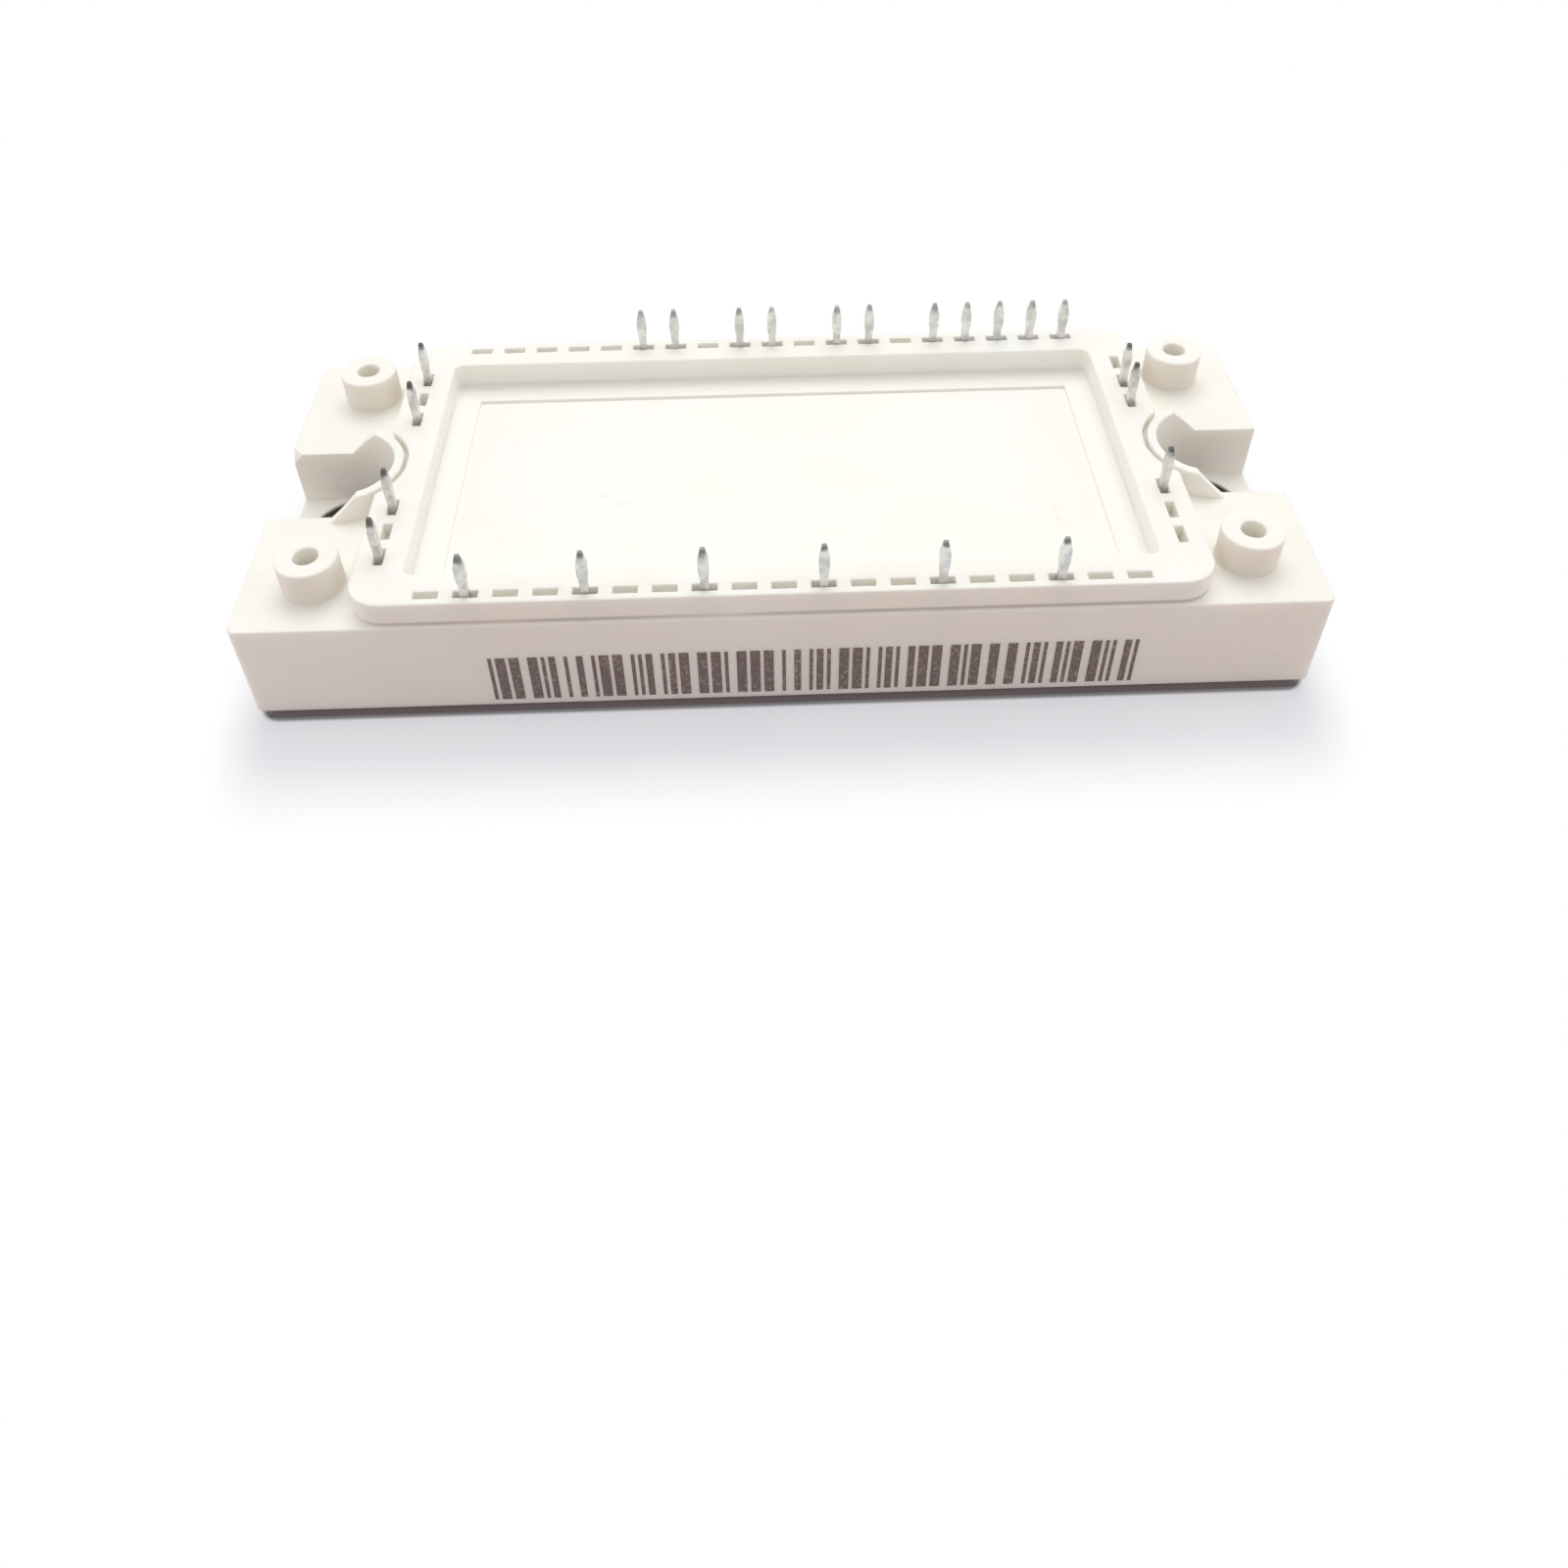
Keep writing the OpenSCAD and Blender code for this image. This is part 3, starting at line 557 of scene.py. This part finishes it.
def joinedTriangles(name):
    # the node's points without doubles, and the three point numbers of each triangle
    data = nodes[name].data
    data.calc_loop_triangles()
    loose = np.empty(len(data.vertices) * 3)
    data.vertices.foreach_get("co", loose)
    loose = loose.reshape(-1, 3)
    corners = np.empty(len(data.loop_triangles) * 3, dtype=np.int32)
    data.loop_triangles.foreach_get("vertices", corners)
    steps = np.round(loose / rounding["join"]).astype(np.int64)
    first, joined = np.unique(steps, axis=0, return_index=True, return_inverse=True)[1:]
    return loose[first], joined.ravel()[corners].reshape(-1, 3)


def inside(spots, starts, ends):
    # True for each spot that an odd count of rim edges passes on its right
    x, y = spots[:, 0, None], spots[:, 1, None]
    crosses = (starts[:, 1] > y) != (ends[:, 1] > y)
    rise = np.where(ends[:, 1] == starts[:, 1], 1, ends[:, 1] - starts[:, 1])
    at = starts[:, 0] + (y - starts[:, 1]) * (ends[:, 0] - starts[:, 0]) / rise
    return (crosses & (at > x)).sum(axis=1) % 2 == 1


def filledTop(points, rim):
    # triangles that fill the flat area between the rim's edges, all turned upwards
    numbers, edges = np.unique(rim, return_inverse=True)
    edges = edges.reshape(-1, 2)
    flat = points[numbers, :2] / millimetre
    spots, _, triangles, origins, _, _ = delaunay_2d_cdt(
        [Vector(spot) for spot in flat], edges.tolist(), [], 0, rounding["merge"])
    spots, triangles = np.array(spots), np.array(triangles)
    corners = spots[triangles]
    ab, ac = corners[:, 1] - corners[:, 0], corners[:, 2] - corners[:, 0]
    turn = ab[:, 0] * ac[:, 1] - ab[:, 1] * ac[:, 0]
    triangles[turn < 0] = triangles[turn < 0][:, ::-1]
    kept = inside(corners.mean(axis=1), flat[edges[:, 0]], flat[edges[:, 1]])
    kept &= np.abs(turn) > rounding["thin"]
    source = np.array([origin[0] for origin in origins])
    return numbers[source[triangles[kept]]]


def rimOfTop(points, faces, height):
    # the flat top's triangles, its rim's directed edges, and the points that have to stay
    near = 2 * rounding["join"]
    corners = points[faces]
    normals = np.cross(corners[:, 1] - corners[:, 0], corners[:, 2] - corners[:, 0])
    upward = normals[:, 2] / np.linalg.norm(normals, axis=1)
    above = corners[:, :, 2] - height
    top = (upward > rounding["level"]) & (np.abs(above) < near).all(axis=1)
    drops = (np.abs(upward) < rounding["upright"]) & (above < near).all(axis=1)
    edges = np.concatenate([faces[top][:, pair] for pair in ([0, 1], [1, 2], [2, 0])])
    # an edge with no opposite is on the rim
    codes, opposites = edges @ [len(points), 1], edges @ [1, len(points)]
    held = np.isin(np.arange(len(points)), faces[~top & ~drops])
    return top, edges[~np.isin(codes, opposites)], held


def roundedRims(points, faces, height, radius):
    # a rim point's row goes in by radius times (1 - cos a) and lies lower by radius times
    # (1 - sin a), as the angle a grows from 0 to a quarter turn
    top, rim, held = rimOfTop(points, faces, height)
    total, steps = len(points), rounding["steps"]
    before, after = np.zeros(total, dtype=int), np.zeros(total, dtype=int)
    after[rim[:, 0]], before[rim[:, 1]] = rim[:, 1], rim[:, 0]
    moved = rim[~held[rim[:, 0]], 0]
    here = points[moved]
    along = np.stack([here - points[before[moved]], points[after[moved]] - here])[:, :, :2]
    along /= np.linalg.norm(along, axis=2)[:, :, None]
    sides = np.stack([-along[:, :, 1], along[:, :, 0]], axis=2)
    meeting = np.maximum(1 + (sides[0] * sides[1]).sum(axis=1), rounding["mitre"])
    inward = (sides[0] + sides[1]) / meeting[:, None]
    angles = math.pi / 2 * np.arange(1, steps + 1) / steps
    arcs = np.repeat(here[:, None], steps, axis=1)
    arcs[:, :, :2] += inward[:, None] * (radius * (1 - np.cos(angles)))[:, None]
    arcs[:, :, 2] -= radius * (1 - np.sin(angles))
    rows = np.repeat(np.arange(total)[:, None], steps + 1, axis=1)
    rows[moved, 1:] = total + np.arange(len(moved) * steps).reshape(-1, steps)
    points = np.concatenate([points, arcs.reshape(-1, 3)])
    points[moved, 2] -= radius
    starts, ends = rows[rim[:, 0]], rows[rim[:, 1]]
    # where a rim point stays, its quads lose one side or vanish
    quads = np.stack([starts[:, :-1], ends[:, :-1], ends[:, 1:], starts[:, 1:]], axis=2)
    strips = [tuple(dict.fromkeys(quad)) for quad in quads.reshape(-1, 4).tolist()]
    strips = [strip for strip in strips if len(strip) > 2]
    creases = np.concatenate([np.column_stack([starts[:, i], ends[:, i]]) for i in (0, -1)])
    filled = filledTop(points, np.column_stack([starts[:, -1], ends[:, -1]]))
    return points, np.concatenate([faces[~top], filled]), strips, creases


def markCreases(mesh, creases):
    # the creases' edges are sharp, and so is every edge past the sharp angle
    mesh.set_sharp_from_angle(angle=rounding["sharp"])
    total = len(mesh.vertices)
    edges = np.empty(len(mesh.edges) * 2, dtype=np.int32)
    sharp = np.empty(len(mesh.edges), dtype=bool)
    mesh.edges.foreach_get("vertices", edges)
    mesh.edges.foreach_get("use_edge_sharp", sharp)
    codes, creaseCodes = (np.sort(pairs, axis=1).astype(np.int64) @ [total, 1]
                          for pairs in (edges.reshape(-1, 2), creases))
    mesh.edges.foreach_set("use_edge_sharp", sharp | np.isin(codes, creaseCodes))


def roundTops(name, tops, radius, piece, slot, material):
    # one new piece for the node, with the rims of all its flat tops rounded
    points, faces = joinedTriangles(name)
    strips, creases = [], []
    for height in tops:
        points, faces, newStrips, newCreases = roundedRims(points, faces, height, radius)
        strips += newStrips
        creases.append(newCreases)
    mesh = bpy.data.meshes.new(piece)
    mesh.from_pydata(points.tolist(), [], faces.tolist() + strips)
    mesh.shade_smooth()
    markCreases(mesh, np.concatenate(creases))
    mesh.materials.append(material)
    moulded = bpy.data.objects.new(piece, mesh)
    scene.collection.objects.link(moulded)
    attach(moulded, "root")
    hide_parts(name)
    print(piece, "has", len(mesh.polygons), "faces")


for name, values in rims.items():
    roundTops(name, **values)
print("rims rounded")


# Glue bead in the corner between the lid and the recess's walls

glue = {
    "gap": 0.05 * millimetre,          # between the lid and the recess's walls
    "size": 0.28 * millimetre,         # how far it reaches up the wall and over the lid
    "corner": 1.0 * millimetre,        # radius of the recess's corners
    "cornerSteps": 8,
    "roundSteps": 4,
    "sharp": math.radians(40),
}


def glueBead():
    # a profile carried round the lid: a hollow quarter circle that goes in by size times
    # (1 - cos a) and up by size times (1 - sin a), closed by the corner behind it
    angles = math.pi / 2 * np.arange(glue["roundSteps"] + 1) / glue["roundSteps"]
    inward = np.append(glue["size"] * (1 - np.cos(angles)), 0)
    rise = np.append(glue["size"] * (1 - np.sin(angles)), 0)
    # the path is four quarter circles, each round the centre of its corner
    quarter, step = np.divmod(np.arange(4 * (glue["cornerSteps"] + 1)), glue["cornerSteps"] + 1)
    around = math.pi / 2 * (quarter + step / glue["cornerSteps"])
    signs = np.array([(1, 1), (-1, 1), (-1, -1), (1, -1)])[quarter]
    centres = signs * (np.array([lidHigh.x, lidHigh.y]) + glue["gap"] - glue["corner"])
    rays = np.column_stack([np.cos(around), np.sin(around)])
    grid = np.empty((len(inward), len(around), 3))
    grid[:, :, :2] = centres + (glue["corner"] - inward)[:, None, None] * rays
    grid[:, :, 2] = (lidHigh.z + rise)[:, None]
    numbers = np.arange(grid.size // 3).reshape(grid.shape[:2])
    onward, over = np.roll(numbers, -1, axis=1), np.roll(numbers, -1, axis=0)
    faces = np.stack([numbers, onward, np.roll(onward, -1, axis=0), over], axis=2)
    mesh = bpy.data.meshes.new("lidGlue")
    mesh.from_pydata(grid.reshape(-1, 3).tolist(), [], faces.reshape(-1, 4).tolist())
    mesh.shade_smooth()
    mesh.set_sharp_from_angle(angle=glue["sharp"])
    mesh.materials.append(lidPlastic)
    piece = bpy.data.objects.new("lidGlue", mesh)
    scene.collection.objects.link(piece)
    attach(piece, "root")


glueBead()
print("glue bead done")


# Floor that looks white, keeps the module's shadow and has a painted shadow near it

ground = {
    "size": 4.0,
    "bounce": (0.686, 0.570, 0.556, 1),                # what it throws back on the module
    "seen": (0.30, 0.297, 0.315, 1),                   # what takes the shadow
    "lift": (0.52, 0.513, 0.535, 1),                   # light added so that it ends near white
    "shadowInset": (3.75 * millimetre, 0),             # from the housing's faces to the painted shadow's foot
    "stretch": (1.7, 1.0),                             # along X the shadow ends sooner
    "fade": (4.5 * millimetre, 15 * millimetre),       # the painted shadow fades outside that foot
    "plateCorner": 2 * millimetre,                     # radius of the base plate's corners
    "contact": (0, 0.5 * millimetre),                  # from the base plate's rim outwards
    "contactLight": (0.15, 1),
}


def shadowFade(tree, away):
    # painted shadow: 0 near the module's foot and 1 where the floor is plain white, by the distance
    # outside it
    legs = []
    for across, high, inset, stretch in zip(
            away, housingHigh, ground["shadowInset"], ground["stretch"]):
        off = maths(tree, "MAXIMUM", maths(tree, "SUBTRACT", across, high - inset), 0)
        legs.append(maths(tree, "MULTIPLY", off, stretch))
    return mapped(tree, hypotenuse(tree, legs), ground["fade"], (0, 1), True)


def contactLight(tree, away):
    # how much of the lift the floor has, by the distance outside the base plate's round-cornered
    # outline: a painted contact shadow, where the plate's rim keeps light from the floor just below
    # it
    corner = ground["plateCorner"]
    legs = [maths(tree, "MAXIMUM", maths(tree, "SUBTRACT", across, high - corner), 0)
            for across, high in zip(away, plateHigh)]
    outside = maths(tree, "SUBTRACT", hypotenuse(tree, legs), corner)
    return mapped(tree, outside, ground["contact"], ground["contactLight"], True)


def paleFloor():
    # a plain bounce for the module; rays that show the floor see its shadow and a painted shadow
    # near the module, which fade into white
    material = bpy.data.materials.new("paleFloor")
    material.use_nodes = True
    tree = material.node_tree
    tree.nodes.clear()
    axes = objectAxes(tree)
    away = [maths(tree, "ABSOLUTE", axes[axis]) for axis in "XY"]
    bounce = addNode(tree, "ShaderNodeBsdfDiffuse", {"Color": ground["bounce"]})
    near = addNode(tree, "ShaderNodeBsdfDiffuse", {"Color": ground["seen"]})
    lift = addNode(tree, "ShaderNodeEmission", {
        "Color": ground["lift"], "Strength": contactLight(tree, away)})
    far = addNode(tree, "ShaderNodeEmission", {"Color": white, "Strength": 1.0})
    lifted = addNode(tree, "ShaderNodeAddShader", {0: near.outputs[0], 1: lift.outputs[0]})
    shown = addNode(tree, "ShaderNodeMixShader", {
        0: shadowFade(tree, away), 1: lifted.outputs[0], 2: far.outputs[0]})
    both = addNode(tree, "ShaderNodeMixShader", {
        0: shownRays(tree), 1: bounce.outputs[0], 2: shown.outputs[0]})
    addNode(tree, "ShaderNodeOutputMaterial", {"Surface": both.outputs[0]})
    return material


def makeFloor():
    # a flat square under the heatsink face
    half = ground["size"] / 2
    mesh = bpy.data.meshes.new("floor")
    mesh.from_pydata([(-half, -half, 0), (half, -half, 0), (half, half, 0), (-half, half, 0)],
                     [], [(0, 1, 2, 3)])
    mesh.materials.append(paleFloor())
    floor = bpy.data.objects.new("floor", mesh)
    scene.collection.objects.link(floor)


makeFloor()
print("floor done")


# Room light, lamps and camera

room = {"strength": 0.572, "tint": (1.0, 0.962, 0.955, 1)}

lamps = {
    "backSoftBox": {"place": (0.04, 0.42, 1.02), "size": 0.9, "energy": 6.05,
                    "colour": (0.975, 1.0, 0.98)},
    "leftSoftBox": {"place": (-0.92, 0.0, 0.42), "size": 0.7, "energy": 1.4,
                    "colour": (1.0, 0.985, 0.955)},
    "rightSoftBox": {"place": (0.92, 0.0, 0.42), "size": 0.7, "energy": 1.4,
                     "colour": (1.0, 0.985, 0.955)},
}
lampAim = (0, 0, 0.01)                 # the middle of the module

view = {
    "place": (-0.00250, -0.11548, 0.10365),
    "turn": (47.436, 0.556, -1.857),   # degrees about X, Y and Z
    "lens": 31.0,                      # millimetres
    "sensor": 36,                      # its width in millimetres
    "shift": (0.0018, -0.1338),
    "nearest": 0.005,                  # metres
}


def makeWorld():
    # soft even light; white where the camera or a reflection sees it
    world = bpy.data.worlds.new("softRoom")
    scene.world = world
    world.use_nodes = True
    tree = world.node_tree
    tree.nodes.clear()
    light = addNode(tree, "ShaderNodeBackground", {
        "Color": room["tint"], "Strength": room["strength"]})
    plain = addNode(tree, "ShaderNodeBackground", {"Color": white, "Strength": 1.0})
    both = addNode(tree, "ShaderNodeMixShader", {
        0: shownRays(tree), 1: light.outputs[0], 2: plain.outputs[0]})
    addNode(tree, "ShaderNodeOutputWorld", {"Surface": both.outputs[0]})


def addLamp(name, place, size, energy, colour):
    # a square soft box turned towards the lamps' aim
    lamp = bpy.data.lights.new(name, "AREA")
    lamp.shape = "SQUARE"
    lamp.size = size
    lamp.energy = energy
    lamp.color = colour
    holder = bpy.data.objects.new(name, lamp)
    scene.collection.objects.link(holder)
    holder.location = place
    x, y, z = np.array(lampAim) - place
    holder.rotation_euler = (math.atan2(math.hypot(x, y), -z), 0, math.atan2(x, -y) + math.pi)


def addCamera():
    # the camera looks down on the module over its front face
    camera = bpy.data.cameras.new("camera")
    camera.lens = view["lens"]
    camera.sensor_width = view["sensor"]
    camera.shift_x, camera.shift_y = view["shift"]
    camera.clip_start = view["nearest"]
    holder = bpy.data.objects.new("camera", camera)
    holder.location = view["place"]
    holder.rotation_euler = [math.radians(angle) for angle in view["turn"]]
    scene.collection.objects.link(holder)
    scene.camera = holder


makeWorld()
for name, values in lamps.items():
    addLamp(name, **values)
addCamera()
scene.view_settings.view_transform = "Standard"
print("light and camera done")
